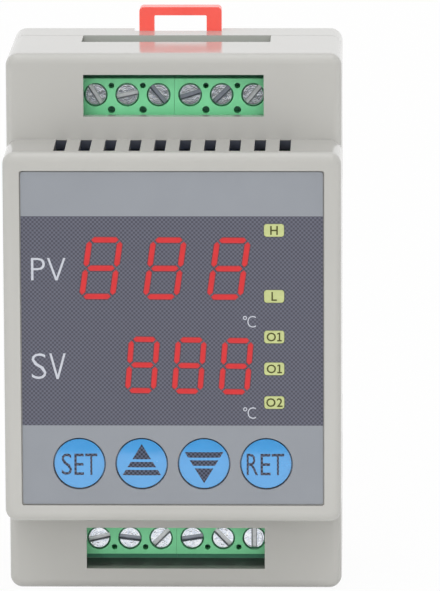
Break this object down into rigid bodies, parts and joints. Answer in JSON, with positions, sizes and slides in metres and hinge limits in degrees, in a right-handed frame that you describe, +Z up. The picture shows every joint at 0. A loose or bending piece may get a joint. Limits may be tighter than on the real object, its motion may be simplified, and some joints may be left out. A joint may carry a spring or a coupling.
{
  "type": "temperature controller",
  "caption": "Box-shaped temperature controller for a mounting rail: stepped housing, digital display face, push keys, screw terminals top and bottom, and a sliding rail clip.",
  "frame": {"origin": "centre of the rail seat: the rail's flanges lie on the plane Y = 0 and the rail's middle is Z = 0", "axes": "+X to the right seen from the front, +Z up, the face looks along -Y and the rail lies behind, along X"},
  "size_m": [0.054, 0.0413, 0.0919],
  "materials": {
    "case_plastic": "moulded, fine satin",
    "face_film": "printed film",
    "red_light": "lit epoxy bar",
    "lamp_lens": "tinted lens",
    "display_case": "moulded",
    "key_blue": "polished",
    "clip_red": "moulded",
    "terminal_green": "moulded",
    "zinc_steel": "zinc plated",
    "tinned_brass": "tinned",
    "board_laminate": "solder mask",
    "switch_black": "moulded",
    "relay_blue": "moulded",
    "can_sleeve": "shrink sleeve",
    "potted_core": "potted",
    "link_black": "moulded",
    "chip_black": "moulded"
  },
  "bodies": {
    "housing": {"rear_base": "case_plastic", "front_cover": "case_plastic", "face_overlay": "face_film", "display_board": "board_laminate", "display_board_screws": "zinc_steel", "pv_display": "display_case", "sv_display": "display_case", "pv_segments": "red_light", "sv_segments": "red_light", "indicator_lamps": "lamp_lens", "controller_chip": "chip_black", "link_socket": "link_black", "key_switches": "switch_black", "main_board": "board_laminate", "transformer": "potted_core", "first_relay": "relay_blue", "second_relay": "relay_blue", "large_capacitor": "can_sleeve", "small_capacitor": "can_sleeve", "link_header": "link_black", "terminal_contacts": "tinned_brass", "top_left_terminal_block": "terminal_green", "top_right_terminal_block": "terminal_green", "bottom_left_terminal_block": "terminal_green", "bottom_right_terminal_block": "terminal_green"},
    "set_key": {"set_key": "key_blue", "set_plunger": "switch_black"},
    "up_key": {"up_key": "key_blue", "up_plunger": "switch_black"},
    "down_key": {"down_key": "key_blue", "down_plunger": "switch_black"},
    "return_key": {"return_key": "key_blue", "return_plunger": "switch_black"},
    "rail_clip": {"rail_clip": "clip_red"},
    "top_screw_1": {"top_screw_1": "zinc_steel"},
    "top_cage_1": {"top_cage_1": "zinc_steel"},
    "top_screw_2": {"top_screw_2": "zinc_steel"},
    "top_cage_2": {"top_cage_2": "zinc_steel"},
    "top_screw_3": {"top_screw_3": "zinc_steel"},
    "top_cage_3": {"top_cage_3": "zinc_steel"},
    "top_screw_4": {"top_screw_4": "zinc_steel"},
    "top_cage_4": {"top_cage_4": "zinc_steel"},
    "top_screw_5": {"top_screw_5": "zinc_steel"},
    "top_cage_5": {"top_cage_5": "zinc_steel"},
    "top_screw_6": {"top_screw_6": "zinc_steel"},
    "top_cage_6": {"top_cage_6": "zinc_steel"},
    "bottom_screw_1": {"bottom_screw_1": "zinc_steel"},
    "bottom_cage_1": {"bottom_cage_1": "zinc_steel"},
    "bottom_screw_2": {"bottom_screw_2": "zinc_steel"},
    "bottom_cage_2": {"bottom_cage_2": "zinc_steel"},
    "bottom_screw_3": {"bottom_screw_3": "zinc_steel"},
    "bottom_cage_3": {"bottom_cage_3": "zinc_steel"},
    "bottom_screw_4": {"bottom_screw_4": "zinc_steel"},
    "bottom_cage_4": {"bottom_cage_4": "zinc_steel"},
    "bottom_screw_5": {"bottom_screw_5": "zinc_steel"},
    "bottom_cage_5": {"bottom_cage_5": "zinc_steel"},
    "bottom_screw_6": {"bottom_screw_6": "zinc_steel"},
    "bottom_cage_6": {"bottom_cage_6": "zinc_steel"}
  },
  "joints": [
    {"name": "set_key_press", "type": "slide", "parent": "housing", "child": "set_key", "axis": [0, 1, 0], "range_m": [0, 0.0005], "stiffness_N_per_m": 1500, "springref_m": -0.0002},
    {"name": "up_key_press", "type": "slide", "parent": "housing", "child": "up_key", "axis": [0, 1, 0], "range_m": [0, 0.0005], "stiffness_N_per_m": 1500, "springref_m": -0.0002},
    {"name": "down_key_press", "type": "slide", "parent": "housing", "child": "down_key", "axis": [0, 1, 0], "range_m": [0, 0.0005], "stiffness_N_per_m": 1500, "springref_m": -0.0002},
    {"name": "return_key_press", "type": "slide", "parent": "housing", "child": "return_key", "axis": [0, 1, 0], "range_m": [0, 0.0005], "stiffness_N_per_m": 1500, "springref_m": -0.0002},
    {"name": "rail_clip_slide", "type": "slide", "parent": "housing", "child": "rail_clip", "axis": [0, 0, 1], "range_m": [0, 0.0025], "stiffness_N_per_m": 1200, "springref_m": -0.001},
    {"name": "top_screw_1_turn", "type": "hinge", "parent": "housing", "child": "top_screw_1", "pos_m": [-0.0127, -0.0196, 0.03665], "axis": [0, 1, 0], "range_deg": [0, 1802]},
    {"name": "top_cage_1_rise", "type": "slide", "parent": "housing", "child": "top_cage_1", "axis": [0, -1, 0], "range_m": [0, 0.0025]},
    {"name": "top_screw_2_turn", "type": "hinge", "parent": "housing", "child": "top_screw_2", "pos_m": [-0.00762, -0.0196, 0.03665], "axis": [0, 1, 0], "range_deg": [0, 1802]},
    {"name": "top_cage_2_rise", "type": "slide", "parent": "housing", "child": "top_cage_2", "axis": [0, -1, 0], "range_m": [0, 0.0025]},
    {"name": "top_screw_3_turn", "type": "hinge", "parent": "housing", "child": "top_screw_3", "pos_m": [-0.00254, -0.0196, 0.03665], "axis": [0, 1, 0], "range_deg": [0, 1802]},
    {"name": "top_cage_3_rise", "type": "slide", "parent": "housing", "child": "top_cage_3", "axis": [0, -1, 0], "range_m": [0, 0.0025]},
    {"name": "top_screw_4_turn", "type": "hinge", "parent": "housing", "child": "top_screw_4", "pos_m": [0.00254, -0.0196, 0.03665], "axis": [0, 1, 0], "range_deg": [0, 1802]},
    {"name": "top_cage_4_rise", "type": "slide", "parent": "housing", "child": "top_cage_4", "axis": [0, -1, 0], "range_m": [0, 0.0025]},
    {"name": "top_screw_5_turn", "type": "hinge", "parent": "housing", "child": "top_screw_5", "pos_m": [0.00762, -0.0196, 0.03665], "axis": [0, 1, 0], "range_deg": [0, 1802]},
    {"name": "top_cage_5_rise", "type": "slide", "parent": "housing", "child": "top_cage_5", "axis": [0, -1, 0], "range_m": [0, 0.0025]},
    {"name": "top_screw_6_turn", "type": "hinge", "parent": "housing", "child": "top_screw_6", "pos_m": [0.0127, -0.0196, 0.03665], "axis": [0, 1, 0], "range_deg": [0, 1802]},
    {"name": "top_cage_6_rise", "type": "slide", "parent": "housing", "child": "top_cage_6", "axis": [0, -1, 0], "range_m": [0, 0.0025]},
    {"name": "bottom_screw_1_turn", "type": "hinge", "parent": "housing", "child": "bottom_screw_1", "pos_m": [-0.0127, -0.0196, -0.03665], "axis": [0, 1, 0], "range_deg": [0, 1802]},
    {"name": "bottom_cage_1_rise", "type": "slide", "parent": "housing", "child": "bottom_cage_1", "axis": [0, -1, 0], "range_m": [0, 0.0025]},
    {"name": "bottom_screw_2_turn", "type": "hinge", "parent": "housing", "child": "bottom_screw_2", "pos_m": [-0.00762, -0.0196, -0.03665], "axis": [0, 1, 0], "range_deg": [0, 1802]},
    {"name": "bottom_cage_2_rise", "type": "slide", "parent": "housing", "child": "bottom_cage_2", "axis": [0, -1, 0], "range_m": [0, 0.0025]},
    {"name": "bottom_screw_3_turn", "type": "hinge", "parent": "housing", "child": "bottom_screw_3", "pos_m": [-0.00254, -0.0196, -0.03665], "axis": [0, 1, 0], "range_deg": [0, 1802]},
    {"name": "bottom_cage_3_rise", "type": "slide", "parent": "housing", "child": "bottom_cage_3", "axis": [0, -1, 0], "range_m": [0, 0.0025]},
    {"name": "bottom_screw_4_turn", "type": "hinge", "parent": "housing", "child": "bottom_screw_4", "pos_m": [0.00254, -0.0196, -0.03665], "axis": [0, 1, 0], "range_deg": [0, 1802]},
    {"name": "bottom_cage_4_rise", "type": "slide", "parent": "housing", "child": "bottom_cage_4", "axis": [0, -1, 0], "range_m": [0, 0.0025]},
    {"name": "bottom_screw_5_turn", "type": "hinge", "parent": "housing", "child": "bottom_screw_5", "pos_m": [0.00762, -0.0196, -0.03665], "axis": [0, 1, 0], "range_deg": [0, 1802]},
    {"name": "bottom_cage_5_rise", "type": "slide", "parent": "housing", "child": "bottom_cage_5", "axis": [0, -1, 0], "range_m": [0, 0.0025]},
    {"name": "bottom_screw_6_turn", "type": "hinge", "parent": "housing", "child": "bottom_screw_6", "pos_m": [0.0127, -0.0196, -0.03665], "axis": [0, 1, 0], "range_deg": [0, 1802]},
    {"name": "bottom_cage_6_rise", "type": "slide", "parent": "housing", "child": "bottom_cage_6", "axis": [0, -1, 0], "range_m": [0, 0.0025]}
  ],
  "couplings": [
    {"joint": "top_screw_1_turn", "follows": "top_cage_1_rise", "rad_per_m": 12566},
    {"joint": "top_screw_2_turn", "follows": "top_cage_2_rise", "rad_per_m": 12566},
    {"joint": "top_screw_3_turn", "follows": "top_cage_3_rise", "rad_per_m": 12566},
    {"joint": "top_screw_4_turn", "follows": "top_cage_4_rise", "rad_per_m": 12566},
    {"joint": "top_screw_5_turn", "follows": "top_cage_5_rise", "rad_per_m": 12566},
    {"joint": "top_screw_6_turn", "follows": "top_cage_6_rise", "rad_per_m": 12566},
    {"joint": "bottom_screw_1_turn", "follows": "bottom_cage_1_rise", "rad_per_m": 12566},
    {"joint": "bottom_screw_2_turn", "follows": "bottom_cage_2_rise", "rad_per_m": 12566},
    {"joint": "bottom_screw_3_turn", "follows": "bottom_cage_3_rise", "rad_per_m": 12566},
    {"joint": "bottom_screw_4_turn", "follows": "bottom_cage_4_rise", "rad_per_m": 12566},
    {"joint": "bottom_screw_5_turn", "follows": "bottom_cage_5_rise", "rad_per_m": 12566},
    {"joint": "bottom_screw_6_turn", "follows": "bottom_cage_6_rise", "rad_per_m": 12566}
  ]
}
